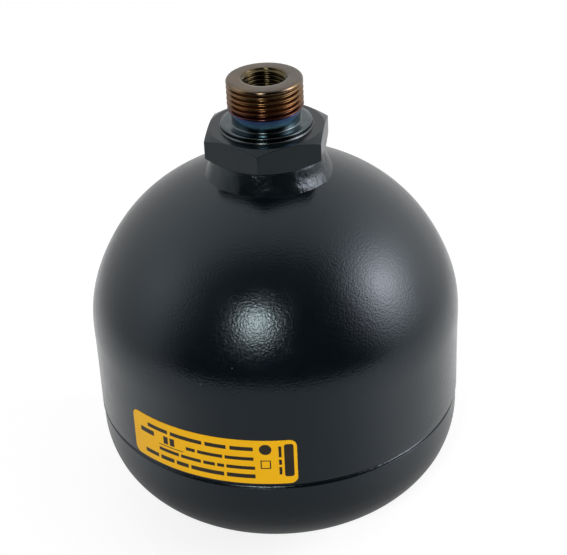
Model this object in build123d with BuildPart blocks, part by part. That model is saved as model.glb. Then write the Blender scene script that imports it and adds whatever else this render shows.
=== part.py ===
from build123d import *
import os
from math import acos, cos, degrees, radians, sin, sqrt, tan

# Hydraulic diaphragm accumulator of one litre, welded from two drawn steel shells.
# All sizes are in millimetres. The origin is the centre of the foot, the flat end of the
# charging screw, and +Z runs up the axis through the fluid port.

# The two drawn shells, each a short cylinder under a head of two arcs: a knuckle, whose
# centre lies a little off the axis, and a crown, whose radius is that much larger
shell_r = 68.0
wall = 6.0
fluid_straight = 30.7
fluid_knuckle_in = 7.5
fluid_crown_gain = 12.9
gas_straight = 5.2
gas_knuckle_in = 34.6
gas_crown_gain = 78.0

# The weld round the vessel where the shells meet
seam_face = 1.6
seam_root = 0.8
seam_crown = 0.2

# The fluid port: a turned fitting with a hexagon, a sealing collar and two threads
spigot_r = 15.0
neck_r = 17.5
hex_across_flats = 41.0
hex_height = 9.8
hex_lift = 4.1
hex_turn = 21.13
hex_chamfer_r = 20.3
hex_chamfer_angle = 27.0
collar_r = 16.2
collar_height = 1.8
relief_r = 12.2
relief_width = 5.3
relief_slope = 0.9
stud_thread_r = 13.5
stud_thread_length = 10.9
stud_edge = 0.4
port_thread_r = 7.19
port_thread_depth = 15.0
port_mouth_r = 8.1
port_drill_r = 5.0
port_drill_cone = 1.3
seat_stand_out = 0.4
seat_edge = 0.6

# The fillet weld under the hexagon
port_weld_toe_r = 22.7
port_weld_top_r = 19.6
port_weld_bulge = 0.7

# The rubber diaphragm and its bead
rubber = 2.2
rubber_centre = 2.5
rubber_to_wall = 0.4
bead_width = 6.0
bead_height = 6.0
bead_edge = 1.2

# The rings inside the seam
backing_ring = 1.25
backing_above_seam = 6.0
clamp_flange = 2.4
clamp_leg = 1.8
clamp_lip = 3.5

# The button that closes the port when the oil is gone
button_r = 18.0
button_height = 4.2
button_flat_r = 13.5
button_slope = 1.6
button_stem_r = 5.0
button_head_r = 6.6
button_head_height = 2.0
button_head_edge = 1.0
backing_disc_r = 15.0
backing_disc = 2.5
disc_edge = 0.8

# The gas end: a welded bush, its charging screw and the seal between them
bush_r = 20.0
bush_spigot_r = 17.0
bush_stand_out = 2.0
bush_inside = 0.4
screw_thread_r = 13.5
screw_length = 9.5
screw_head_r = 17.0
screw_head_height = 3.0
screw_edge = 0.6
key_across_flats = 6.0
key_depth = 5.0
seal_section = 2.2
seal_room = 0.45
bush_weld_toe_r = 23.6
bush_weld_leg = 2.2
bush_weld_bulge = 0.4

# The adhesive label on the cylinder above the seam
label_height = 17.4
label_above_seam = 1.95
label_start = -139.8
label_sweep = 53.7
label_thickness = 0.15
label_corner = 2.6

# Clearances
fit_gap = 0.05
seat_gap = 0.3
rubber_gap = 0.1
stem_gap = 0.3
shoulder_gap = 0.1


def head_depth(knuckle_in, crown_gain):
    """Depth of a shell's curved end, from its cylinder to its pole."""
    return shell_r - knuckle_in + crown_gain - sqrt(crown_gain**2 - knuckle_in**2)


class Head:
    """The curved end of a shell: a knuckle arc and a crown arc that meet smoothly."""

    def __init__(self, tangent_z, side, knuckle_in, crown_gain):
        self.tangent_z = tangent_z
        self.side = side
        self.knuckle_in = knuckle_in
        self.knuckle_r = shell_r - knuckle_in
        self.crown_r = self.knuckle_r + crown_gain
        self.centre_z = tangent_z - side * sqrt(crown_gain**2 - knuckle_in**2)
        self.pole_z = self.centre_z + side * self.crown_r
        self.knuckle_angle = degrees(acos(knuckle_in / crown_gain))

    def surface_z(self, radius, inwards=0.0):
        """Height of the crown at a radius, on its outside or so far inwards."""
        return self.centre_z + self.side * sqrt((self.crown_r - inwards) ** 2 - radius**2)

    def radius_at(self, height, inwards=0.0):
        """Radius of the crown at a height."""
        return sqrt((self.crown_r - inwards) ** 2 - (height - self.centre_z) ** 2)

    def knuckle(self, inwards=0.0):
        """The knuckle arc, from the cylinder up to the crown."""
        radius = self.knuckle_r - inwards
        CenterArc((self.knuckle_in, self.tangent_z), radius, 0, arc_size=self.side * self.knuckle_angle)

    def crown(self, inwards=0.0, from_r=None, to_r=0.0):
        """The crown arc between two radii, by default from the knuckle to the axis."""
        radius = self.crown_r - inwards
        start = self.knuckle_angle if from_r is None else degrees(acos(from_r / radius))
        sweep = degrees(acos(to_r / radius)) - start
        CenterArc((0, self.centre_z), radius, self.side * start, arc_size=self.side * sweep)


# Heights that follow from the sizes above
inner_r = shell_r - wall
bush_face_z = screw_head_height
gas_pole_z = bush_face_z + bush_stand_out
gas_tangent_z = gas_pole_z + head_depth(gas_knuckle_in, gas_crown_gain)
gas_head = Head(gas_tangent_z, -1, gas_knuckle_in, gas_crown_gain)
seam_z = gas_tangent_z + gas_straight
fluid_tangent_z = seam_z + fluid_straight
fluid_head = Head(fluid_tangent_z, 1, fluid_knuckle_in, fluid_crown_gain)
fluid_pole_z = fluid_head.pole_z


def shell_section(head, edge_out_z, edge_in_z):
    """Half the section of a drawn shell, from its bevelled weld edge to its pole."""
    with BuildSketch(Plane.XZ) as section:
        with BuildLine():
            Line((shell_r, edge_out_z), (shell_r, head.tangent_z))
            head.knuckle()
            head.crown()
            Line((0, head.pole_z), (0, head.pole_z - head.side * wall))
            head.crown(wall)
            head.knuckle(wall)
            Line((inner_r, head.tangent_z), (inner_r, edge_in_z))
            Line((inner_r, edge_in_z), (shell_r, edge_out_z))
        make_face()
    return section.sketch


def cup_section(inwards, rim_z, top_z):
    """Half the section of a cup that follows the fluid shell inside and has a flat top."""
    radius = shell_r - inwards
    flat_r = fluid_head.radius_at(top_z, inwards)
    with BuildSketch(Plane.XZ) as section:
        with BuildLine():
            Line((0, rim_z), (radius, rim_z))
            Line((radius, rim_z), (radius, fluid_tangent_z))
            fluid_head.knuckle(inwards)
            fluid_head.crown(inwards, to_r=flat_r)
            Line((flat_r, top_z), (0, top_z))
            Line((0, top_z), (0, rim_z))
        make_face()
    return section.sketch


# Fluid shell: the tall drawn half, with the hole for the port fitting in its crown
fluid_section = shell_section(fluid_head, seam_z + seam_face / 2, seam_z + seam_root / 2)
with BuildPart() as fluid_shell:
    revolve(fluid_section, axis=Axis.Z)
    with Locations((0, 0, fluid_pole_z)):
        Hole(radius=spigot_r + fit_gap, depth=2 * wall)

# Gas shell: the shallow drawn half, with the hole for the threaded bush in its pole
gas_section = shell_section(gas_head, seam_z - seam_face / 2, seam_z - seam_root / 2)
with BuildPart() as gas_shell:
    revolve(gas_section, axis=Axis.Z)
    with Locations((0, 0, gas_pole_z + 2 * wall)):
        Hole(radius=bush_spigot_r + fit_gap, depth=2 * wall)

# Seam weld: fills the bevel between the shells and crowns a little outside them
with BuildPart() as seam_weld:
    with BuildSketch(Plane.XZ):
        with BuildLine():
            Line((inner_r, seam_z - seam_root / 2), (shell_r, seam_z - seam_face / 2))
            ThreePointArc(
                (shell_r, seam_z - seam_face / 2),
                (shell_r + seam_crown, seam_z),
                (shell_r, seam_z + seam_face / 2),
            )
            Line((shell_r, seam_z + seam_face / 2), (inner_r, seam_z + seam_root / 2))
            Line((inner_r, seam_z + seam_root / 2), (inner_r, seam_z - seam_root / 2))
        make_face()
    revolve(axis=Axis.Z)

# Port fitting: heights of its steps, from the seat inside the vessel to the rim
seat_z = fluid_head.surface_z(spigot_r, wall) - seat_stand_out
shoulder_z = fluid_head.surface_z(spigot_r) + shoulder_gap
hex_bottom_z = fluid_pole_z + hex_lift
hex_top_z = hex_bottom_z + hex_height
collar_z = hex_top_z + collar_height
thread_start_z = collar_z + relief_width
rim_z = thread_start_z + stud_thread_length
thread_end_z = rim_z - port_thread_depth
mouth_depth = port_mouth_r - port_thread_r

# The hexagon, bevelled at both ends as it is turned from bar
with BuildPart() as hexagon:
    with BuildSketch(Plane.XY.offset(hex_bottom_z)):
        RegularPolygon(hex_across_flats / 2, 6, major_radius=False, rotation=hex_turn)
    extrude(amount=hex_height)
    corner_r = hex_across_flats / sqrt(3)
    bevel = (corner_r - hex_chamfer_r) * tan(radians(hex_chamfer_angle))
    with BuildSketch(Plane.XZ):
        with BuildLine():
            Polyline(
                (0, hex_bottom_z),
                (hex_chamfer_r, hex_bottom_z),
                (corner_r, hex_bottom_z + bevel),
                (corner_r, hex_top_z - bevel),
                (hex_chamfer_r, hex_top_z),
                (0, hex_top_z),
                close=True,
            )
        make_face()
    revolve(axis=Axis.Z, mode=Mode.INTERSECT)

with BuildPart() as port_fitting:
    with BuildSketch(Plane.XZ):
        with BuildLine():
            Polyline(
                (0, seat_z),
                (spigot_r - seat_edge, seat_z),
                (spigot_r, seat_z + seat_edge),
                (spigot_r, shoulder_z),
                (neck_r, shoulder_z),
                (neck_r, hex_top_z - hex_height / 2),
                (collar_r, hex_top_z - hex_height / 2),
                (collar_r, collar_z),
                (relief_r, collar_z),
                (relief_r, thread_start_z - relief_slope),
                (stud_thread_r, thread_start_z),
                (stud_thread_r, rim_z - stud_edge),
                (stud_thread_r - stud_edge, rim_z),
                (0, rim_z),
                close=True,
            )
        make_face()
    revolve(axis=Axis.Z)
    add(hexagon.part)
    with BuildSketch(Plane.XZ):
        with BuildLine():
            Polyline(
                (0, seat_z),
                (port_drill_r + seat_edge, seat_z),
                (port_drill_r, seat_z + seat_edge),
                (port_drill_r, thread_end_z - port_drill_cone),
                (port_thread_r, thread_end_z),
                (port_thread_r, rim_z - mouth_depth),
                (port_mouth_r, rim_z),
                (0, rim_z),
                close=True,
            )
        make_face()
    revolve(axis=Axis.Z, mode=Mode.SUBTRACT)

# Port weld: the fillet that joins the neck of the fitting to the crown of the fluid shell
with BuildPart() as port_weld:
    root_point = (spigot_r + fit_gap, fluid_head.surface_z(spigot_r + fit_gap))
    toe_point = (port_weld_toe_r, fluid_head.surface_z(port_weld_toe_r))
    with BuildSketch(Plane.XZ):
        with BuildLine():
            Polyline(
                root_point,
                (spigot_r + fit_gap, shoulder_z),
                (neck_r, shoulder_z),
                (neck_r, hex_bottom_z),
                (port_weld_top_r, hex_bottom_z),
            )
            SagittaArc((port_weld_top_r, hex_bottom_z), toe_point, port_weld_bulge)
            fluid_head.crown(from_r=port_weld_toe_r, to_r=spigot_r + fit_gap)
        make_face()
    revolve(axis=Axis.Z)

# Closing button: a plate on the fluid side, with a stem that is riveted over inside
button_top_z = seat_z - seat_gap
button_under_z = button_top_z - button_height
rubber_top_z = button_under_z - rubber_gap
rubber_under_z = rubber_top_z - rubber_centre
disc_top_z = rubber_under_z - rubber_gap
disc_under_z = disc_top_z - backing_disc
with BuildPart() as closing_button:
    with BuildSketch(Plane.XZ):
        with BuildLine():
            Polyline(
                (0, disc_under_z - button_head_height),
                (button_head_r - button_head_edge, disc_under_z - button_head_height),
                (button_head_r, disc_under_z - button_head_height + button_head_edge),
                (button_head_r, disc_under_z),
                (button_stem_r, disc_under_z),
                (button_stem_r, button_under_z),
                (button_r, button_under_z),
                (button_r, button_top_z - button_slope),
                (button_flat_r, button_top_z),
                (0, button_top_z),
                close=True,
            )
        make_face()
    revolve(axis=Axis.Z)

# Backing disc: spreads the load of the rivet on the gas side of the rubber
with BuildPart() as button_backing_disc:
    with BuildSketch(Plane.XY.offset(disc_under_z)):
        Circle(backing_disc_r)
        Circle(button_stem_r + fit_gap, mode=Mode.SUBTRACT)
    extrude(amount=backing_disc)
    rim_edge = button_backing_disc.faces().sort_by(Axis.Z)[0].edges().sort_by(SortBy.RADIUS)[-1]
    chamfer(rim_edge, disc_edge)

# Weld backing ring: bridges the seam inside and shields the rubber from the weld
with BuildPart() as weld_backing_ring:
    with BuildSketch(Plane.XY.offset(gas_tangent_z)):
        Circle(inner_r - fit_gap)
        Circle(inner_r - fit_gap - backing_ring, mode=Mode.SUBTRACT)
    extrude(amount=gas_straight + backing_above_seam)

# Clamp ring: an angle ring that stands on the backing ring and holds the bead to the wall
flange_z = seam_z + backing_above_seam + fit_gap
bead_z = flange_z + clamp_flange + fit_gap
bead_in_r = inner_r - rubber_gap - bead_width
leg_out_r = bead_in_r - rubber_gap
leg_in_r = leg_out_r - clamp_leg
lip_z = bead_z + bead_height + clamp_lip
with BuildPart() as clamp_ring:
    with BuildSketch(Plane.XZ):
        with BuildLine():
            Polyline(
                (leg_in_r, lip_z - clamp_leg / 2),
                (leg_in_r, flange_z),
                (inner_r - fit_gap, flange_z),
                (inner_r - fit_gap, flange_z + clamp_flange),
                (leg_out_r, flange_z + clamp_flange),
                (leg_out_r, lip_z - clamp_leg / 2),
            )
            ThreePointArc(
                (leg_out_r, lip_z - clamp_leg / 2),
                ((leg_in_r + leg_out_r) / 2, lip_z),
                (leg_in_r, lip_z - clamp_leg / 2),
            )
        make_face()
    revolve(axis=Axis.Z)

# Diaphragm: a rubber cup with a thick bead at its rim and a flat centre for the button
outer_cup = cup_section(wall + rubber_to_wall, bead_z + bead_edge, rubber_top_z)
inner_cup = cup_section(wall + rubber_to_wall + rubber, bead_z + bead_edge, rubber_under_z)
with BuildPart() as diaphragm:
    with BuildSketch(Plane.XZ):
        add(outer_cup)
        add(inner_cup, mode=Mode.SUBTRACT)
        with Locations((bead_in_r + bead_width / 2, bead_z + bead_height / 2)):
            RectangleRounded(bead_width, bead_height, bead_edge)
    revolve(axis=Axis.Z)
    with Locations((0, 0, rubber_top_z)):
        Hole(radius=button_stem_r + stem_gap, depth=2 * rubber_centre)

# Gas bush: the threaded bush in the pole of the gas shell
bush_shoulder_z = gas_head.surface_z(bush_spigot_r) - shoulder_gap
bush_end_z = gas_head.surface_z(bush_spigot_r, wall) + bush_inside
seal_room_depth = seal_section + fit_gap
seal_room_r = screw_thread_r + seal_section + 2 * seal_room
with BuildPart() as gas_bush:
    with BuildSketch(Plane.XZ):
        with BuildLine():
            Polyline(
                (seal_room_r, bush_face_z),
                (bush_r, bush_face_z),
                (bush_r, bush_shoulder_z),
                (bush_spigot_r, bush_shoulder_z),
                (bush_spigot_r, bush_end_z),
                (screw_thread_r + fit_gap, bush_end_z),
                (screw_thread_r + fit_gap, bush_face_z + seal_room_depth),
                (seal_room_r, bush_face_z + seal_room_depth),
                close=True,
            )
        make_face()
    revolve(axis=Axis.Z)

# Bush weld: the small fillet round the bush on the outside of the gas shell
with BuildPart() as bush_weld:
    bush_root_point = (bush_spigot_r + fit_gap, gas_head.surface_z(bush_spigot_r + fit_gap))
    bush_toe_point = (bush_weld_toe_r, gas_head.surface_z(bush_weld_toe_r))
    bush_weld_z = bush_shoulder_z - bush_weld_leg
    with BuildSketch(Plane.XZ):
        with BuildLine():
            Polyline(
                bush_root_point,
                (bush_spigot_r + fit_gap, bush_shoulder_z),
                (bush_r, bush_shoulder_z),
                (bush_r, bush_weld_z),
            )
            SagittaArc(bush_toe_point, (bush_r, bush_weld_z), bush_weld_bulge)
            gas_head.crown(from_r=bush_weld_toe_r, to_r=bush_spigot_r + fit_gap)
        make_face()
    revolve(axis=Axis.Z)

# Charging screw: its flat head is the foot, with a hexagon socket for the key
with BuildPart() as charging_screw:
    with BuildSketch(Plane.XY):
        Circle(screw_head_r)
    extrude(amount=screw_head_height)
    chamfer(charging_screw.faces().sort_by(Axis.Z)[0].edges(), screw_edge)
    with BuildSketch(Plane.XY.offset(screw_head_height)):
        Circle(screw_thread_r)
    extrude(amount=screw_length)
    chamfer(charging_screw.faces().sort_by(Axis.Z)[-1].edges(), 2 * screw_edge)
    with BuildSketch(Plane.XY):
        RegularPolygon(key_across_flats / 2, 6, major_radius=False)
    extrude(amount=key_depth, mode=Mode.SUBTRACT)

# Screw seal: a round rubber ring between the head of the screw and the bush
with BuildPart() as screw_seal:
    with BuildSketch(Plane.XZ):
        seal_centre_r = screw_thread_r + seal_room + seal_section / 2
        with Locations((seal_centre_r, bush_face_z + seal_section / 2 + fit_gap / 2)):
            Circle(seal_section / 2)
    revolve(axis=Axis.Z)

# Label: a thin sheet with round corners, stuck on the cylinder of the fluid shell
with BuildPart() as label:
    start = radians(label_start)
    label_plane = Plane(
        origin=(0, 0, seam_z + label_above_seam),
        x_dir=(cos(start), sin(start), 0),
        z_dir=(sin(start), -cos(start), 0),
    )
    with BuildSketch(label_plane):
        with Locations((shell_r + label_thickness / 2, label_height / 2)):
            Rectangle(label_thickness, label_height)
    revolve(axis=Axis.Z, revolution_arc=label_sweep)
    corner_edges = label.edges().filter_by(lambda edge: edge.length < 2 * label_thickness)
    fillet(corner_edges, label_corner)

pieces = {
    "fluid_shell": fluid_shell,
    "gas_shell": gas_shell,
    "seam_weld": seam_weld,
    "port_fitting": port_fitting,
    "port_weld": port_weld,
    "closing_button": closing_button,
    "button_backing_disc": button_backing_disc,
    "diaphragm": diaphragm,
    "clamp_ring": clamp_ring,
    "weld_backing_ring": weld_backing_ring,
    "gas_bush": gas_bush,
    "bush_weld": bush_weld,
    "charging_screw": charging_screw,
    "screw_seal": screw_seal,
    "label": label,
}
os.makedirs("parts", exist_ok=True)
for name, piece in pieces.items():
    piece.part.label = name
    export_step(piece.part, f"parts/{name}.step")
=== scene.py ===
"""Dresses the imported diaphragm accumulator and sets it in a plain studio.

Sizes are in millimetres and become metres through MM. The origin is the centre of the foot,
and +Z runs up the axis through the fluid port.
"""

import logging
from dataclasses import dataclass, field
from enum import Enum
from math import acos, atan2, cos, degrees, exp, hypot, pi, radians, sin, sqrt, tan
from typing import Any, Callable, Sequence

import bmesh
import bpy
from mathutils import Matrix, Vector, noise

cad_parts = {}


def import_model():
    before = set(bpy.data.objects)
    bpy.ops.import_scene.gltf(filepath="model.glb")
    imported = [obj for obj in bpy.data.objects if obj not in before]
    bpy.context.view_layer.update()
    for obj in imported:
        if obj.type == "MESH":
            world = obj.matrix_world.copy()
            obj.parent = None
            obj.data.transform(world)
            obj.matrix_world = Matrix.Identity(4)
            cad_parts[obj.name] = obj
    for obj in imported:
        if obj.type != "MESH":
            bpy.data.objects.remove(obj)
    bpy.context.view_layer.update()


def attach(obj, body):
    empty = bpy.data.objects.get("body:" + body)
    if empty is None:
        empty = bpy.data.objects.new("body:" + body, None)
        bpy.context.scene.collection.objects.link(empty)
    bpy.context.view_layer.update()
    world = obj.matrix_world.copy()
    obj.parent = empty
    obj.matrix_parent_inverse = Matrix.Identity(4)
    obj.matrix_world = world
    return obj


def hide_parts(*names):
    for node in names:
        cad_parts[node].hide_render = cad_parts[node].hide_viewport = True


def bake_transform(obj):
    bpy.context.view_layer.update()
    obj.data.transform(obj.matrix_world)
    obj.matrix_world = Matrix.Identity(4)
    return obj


MM = 0.001
Colour = tuple[float, float, float]
LOG = logging.getLogger("accumulator")


class Body(Enum):
    """The CAD bodies that pieces ride on."""

    VESSEL = "vessel"
    VALVE = "closing_valve"


class Slot(Enum):
    """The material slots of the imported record."""

    BLACK_PAINT = "black_paint"
    WELD_PAINT = "weld_paint"
    PORT_STEEL = "port_steel"
    PAINTED_STEEL = "port_steel_painted"
    PLATED_STEEL = "plated_steel"
    BARE_STEEL = "bare_steel"
    RUBBER = "rubber"
    LABEL_FILM = "label_film"


# ---- Finishes


class Graph:
    """The shader nodes of one material."""

    def __init__(self, name: str) -> None:
        """Starts a material with a plain Principled shader.

        Args:
            name: The material's name.
        """
        self.material = bpy.data.materials.new(name)
        self.material.use_nodes = True
        self.tree = self.material.node_tree
        self.surface = self.tree.nodes["Principled BSDF"]
        self.place = self.add("TexCoord").outputs["Object"]

    def add(self, kind: str, **settings: Any) -> bpy.types.Node:
        """Adds a shader node.

        Args:
            kind: The node's type, without its ShaderNode prefix.
            settings: Properties of the node.

        Returns:
            The new node.
        """
        node = self.tree.nodes.new("ShaderNode" + kind)
        for name, value in settings.items():
            setattr(node, name, value)
        return node

    def join(self, source: bpy.types.NodeSocket, target: bpy.types.NodeSocket) -> None:
        """Links one socket to another."""
        self.tree.links.new(source, target)

    def stretch(self, x: float, y: float, z: float) -> bpy.types.NodeSocket:
        """The object's coordinates, stretched along each axis."""
        mapping = self.add("Mapping")
        mapping.inputs["Scale"].default_value = (x, y, z)
        self.join(self.place, mapping.inputs["Vector"])
        return mapping.outputs["Vector"]

    def grain(
        self,
        per_metre: float,
        detail: float = 2.0,
        roughness: float = 0.5,
        where: bpy.types.NodeSocket | None = None,
    ) -> bpy.types.NodeSocket:
        """A noise pattern on the object's coordinates.

        Args:
            per_metre: How many features fit in a metre.
            detail: Octaves of finer noise.
            roughness: How much the finer octaves count.
            where: Other coordinates to read.

        Returns:
            The socket of the pattern, from 0 to 1.
        """
        node = self.add("TexNoise")
        node.inputs["Scale"].default_value = per_metre
        node.inputs["Detail"].default_value = detail
        node.inputs["Roughness"].default_value = roughness
        self.join(where or self.place, node.inputs["Vector"])
        return node.outputs["Fac"]

    def spread(
        self, source: bpy.types.NodeSocket, low: float, high: float, start: float = 0.0, end: float = 1.0
    ) -> bpy.types.NodeSocket:
        """Maps a pattern from start..end to low..high, held at both ends."""
        node = self.add("MapRange", clamp=True)
        for name, value in (("From Min", start), ("From Max", end), ("To Min", low), ("To Max", high)):
            node.inputs[name].default_value = value
        self.join(source, node.inputs["Value"])
        return node.outputs["Result"]

    def sum(self, first: bpy.types.NodeSocket, second: bpy.types.NodeSocket, kind: str = "ADD") -> bpy.types.NodeSocket:
        """Joins two patterns by a math operation, a sum by default."""
        node = self.add("Math", operation=kind)
        self.join(first, node.inputs[0])
        self.join(second, node.inputs[1])
        return node.outputs[0]

    def scaled(self, source: bpy.types.NodeSocket, factor: float) -> bpy.types.NodeSocket:
        """A pattern times a number."""
        node = self.add("Math", operation="MULTIPLY")
        self.join(source, node.inputs[0])
        node.inputs[1].default_value = factor
        return node.outputs[0]

    def ramp(self, source: bpy.types.NodeSocket, stops: Sequence[tuple[float, Colour]]) -> bpy.types.NodeSocket:
        """Colours a pattern by a ramp of stops."""
        node = self.add("ValToRGB")
        elements = node.color_ramp.elements
        while len(elements) < len(stops):
            elements.new(1.0)
        for element, (position, colour) in zip(elements, stops):
            element.position = position
            element.color = (*colour, 1.0)
        self.join(source, node.inputs["Fac"])
        return node.outputs["Color"]

    def blend(
        self, factor: bpy.types.NodeSocket, first: Colour | bpy.types.NodeSocket, second: Colour | bpy.types.NodeSocket
    ) -> bpy.types.NodeSocket:
        """Mixes two colours by a pattern."""
        node = self.add("Mix", data_type="RGBA")
        self.join(factor, node.inputs[0])
        for socket, value in ((node.inputs[6], first), (node.inputs[7], second)):
            if isinstance(value, tuple):
                socket.default_value = (*value, 1.0)
            else:
                self.join(value, socket)
        return node.outputs[2]

    def relief(self, height: bpy.types.NodeSocket, depth_mm: float, strength: float = 1.0) -> None:
        """Turns a pattern into a bump of that depth on the surface."""
        node = self.add("Bump")
        node.inputs["Strength"].default_value = strength
        node.inputs["Distance"].default_value = depth_mm * MM
        self.join(height, node.inputs["Height"])
        self.join(node.outputs["Normal"], self.surface.inputs["Normal"])

    def plain(self, **values: float) -> None:
        """Sets the shader's own sockets, named with underscores for spaces."""
        for name, value in values.items():
            self.surface.inputs[name.replace("_", " ")].default_value = value


@dataclass(frozen=True)
class SatinPaint:
    """Black sprayed paint: satin, with a fine orange peel and a few pale specks."""

    name: str
    colour: Colour = (0.0014, 0.0029, 0.0042)
    roughness: float = 0.185
    peel_mm: float = 0.080
    lumps_mm: float = 0.0
    specks: bool = True
    shine: float = 0.5

    def make(self) -> bpy.types.Material:
        """Builds the material."""
        graph = Graph(self.name)
        peel = graph.grain(1350.0, 2.0, 0.5)
        broad = graph.scaled(graph.grain(420.0, 1.0), 0.15)
        height = graph.sum(peel, broad)
        if self.lumps_mm:
            coarse = graph.scaled(graph.grain(380.0, 3.0, 0.6), self.lumps_mm / self.peel_mm)
            height = graph.sum(height, coarse)
        graph.relief(height, self.peel_mm)
        shade = graph.spread(graph.grain(45.0, 3.0), 0.0, 1.0, 0.3, 0.7)
        colour = graph.blend(shade, self.colour, tuple(1.35 * part for part in self.colour))
        if self.specks:
            cells = graph.add("TexVoronoi", feature="F1")
            cells.inputs["Scale"].default_value = 95.0
            graph.join(graph.place, cells.inputs["Vector"])
            near = graph.spread(cells.outputs["Distance"], 1.0, 0.0, 0.018, 0.040)
            pick = graph.spread(graph.grain(21.0, 1.0), 0.0, 1.0, 0.60, 0.63)
            colour = graph.blend(graph.sum(near, pick, "MULTIPLY"), colour, (0.06, 0.065, 0.068))
        graph.join(colour, graph.surface.inputs["Base Color"])
        rough = graph.spread(graph.grain(140.0, 3.0), self.roughness - 0.025, self.roughness + 0.035, 0.3, 0.7)
        graph.join(rough, graph.surface.inputs["Roughness"])
        graph.plain(Metallic=0.0, IOR=1.5, Specular_IOR_Level=self.shine)
        graph.surface.inputs["Specular Tint"].default_value = (0.76, 0.89, 1.0, 1.0)
        return graph.material


@dataclass(frozen=True)
class TintedSteel:
    """Turned steel that the weld's heat has tinted, in bands up the axis."""

    name: str
    bottom_mm: float
    top_mm: float
    bands: tuple[tuple[float, Colour], ...]
    bore: Colour = (0.090, 0.074, 0.038)
    steady_mm: float = 161.0
    roughness: float = 0.13
    cut_mm: float = 0.0012

    def make(self) -> bpy.types.Material:
        """Builds the material."""
        graph = Graph(self.name)
        split = graph.add("SeparateXYZ")
        graph.join(graph.place, split.inputs["Vector"])
        above = graph.spread(split.outputs["Z"], 0.0, 1.0, self.steady_mm * MM, (self.steady_mm + 1.5) * MM)
        wander = graph.spread(graph.grain(70.0, 3.0, 0.55), -0.0008, 0.0008, 0.25, 0.75)
        drift = graph.sum(wander, above, "MULTIPLY")
        height = graph.spread(
            graph.sum(split.outputs["Z"], drift), 0.0, 1.0, self.bottom_mm * MM, self.top_mm * MM
        )
        flat = graph.add("VectorMath", operation="MULTIPLY")
        graph.join(graph.place, flat.inputs[0])
        flat.inputs[1].default_value = (1.0, 1.0, 0.0)
        span = graph.add("VectorMath", operation="LENGTH")
        graph.join(flat.outputs[0], span.inputs[0])
        depth = graph.spread(span.outputs["Value"], 1.0, 0.0, 0.0078, 0.0086)
        tint = graph.blend(depth, graph.ramp(height, self.bands), self.bore)
        shade = graph.spread(graph.grain(260.0, 4.0, 0.6), 0.78, 1.12, 0.3, 0.7)
        scale = graph.add("VectorMath", operation="SCALE")
        graph.join(tint, scale.inputs[0])
        graph.join(shade, scale.inputs["Scale"])
        graph.join(scale.outputs[0], graph.surface.inputs["Base Color"])
        rough = graph.spread(graph.grain(300.0, 3.0), self.roughness - 0.04, self.roughness + 0.06, 0.3, 0.7)
        graph.join(rough, graph.surface.inputs["Roughness"])
        cuts = graph.grain(1.0, 2.0, 0.5, graph.stretch(120.0, 120.0, 9000.0))
        graph.relief(cuts, self.cut_mm)
        graph.plain(Metallic=1.0)
        return graph.material


@dataclass(frozen=True)
class Metal:
    """Plain metal with fine turning or rolling marks along one axis."""

    name: str
    colour: Colour
    roughness: float
    marks: tuple[float, float, float] = (160.0, 160.0, 6000.0)
    stain: Colour = (0.30, 0.29, 0.27)
    stain_share: float = 0.25

    def make(self) -> bpy.types.Material:
        """Builds the material."""
        graph = Graph(self.name)
        marks = graph.grain(1.0, 3.0, 0.6, graph.stretch(*self.marks))
        cloud = graph.spread(graph.grain(110.0, 4.0, 0.6), 0.0, self.stain_share, 0.45, 0.75)
        graph.join(graph.blend(cloud, self.colour, self.stain), graph.surface.inputs["Base Color"])
        rough = graph.spread(graph.grain(420.0, 3.0), self.roughness - 0.06, self.roughness + 0.08, 0.3, 0.7)
        graph.join(rough, graph.surface.inputs["Roughness"])
        graph.relief(marks, 0.008)
        graph.plain(Metallic=1.0)
        return graph.material


@dataclass(frozen=True)
class MouldedRubber:
    """Matt black rubber with a fine moulded grain and a little bloom."""

    name: str
    colour: Colour = (0.012, 0.012, 0.013)
    bloom: Colour = (0.035, 0.035, 0.037)

    def make(self) -> bpy.types.Material:
        """Builds the material."""
        graph = Graph(self.name)
        cloud = graph.spread(graph.grain(60.0, 4.0, 0.6), 0.0, 0.6, 0.4, 0.75)
        graph.join(graph.blend(cloud, self.colour, self.bloom), graph.surface.inputs["Base Color"])
        rough = graph.spread(graph.grain(300.0, 3.0), 0.62, 0.78, 0.3, 0.7)
        graph.join(rough, graph.surface.inputs["Roughness"])
        graph.relief(graph.grain(1900.0, 3.0, 0.6), 0.02)
        graph.plain(Metallic=0.0, IOR=1.52)
        return graph.material


@dataclass(frozen=True)
class Film:
    """A printed adhesive film, with a faint unevenness where it was pressed on."""

    name: str
    colour: Colour
    faded: Colour
    roughness: float = 0.38

    def make(self) -> bpy.types.Material:
        """Builds the material."""
        graph = Graph(self.name)
        fade = graph.spread(graph.grain(90.0, 4.0, 0.6), 0.0, 1.0, 0.3, 0.75)
        graph.join(graph.blend(fade, self.colour, self.faded), graph.surface.inputs["Base Color"])
        rough = graph.spread(graph.grain(500.0, 2.0), self.roughness - 0.04, self.roughness + 0.05, 0.3, 0.7)
        graph.join(rough, graph.surface.inputs["Roughness"])
        graph.relief(graph.grain(210.0, 2.0), 0.012)
        graph.plain(Metallic=0.0, IOR=1.48, Specular_IOR_Level=0.3)
        return graph.material


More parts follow.
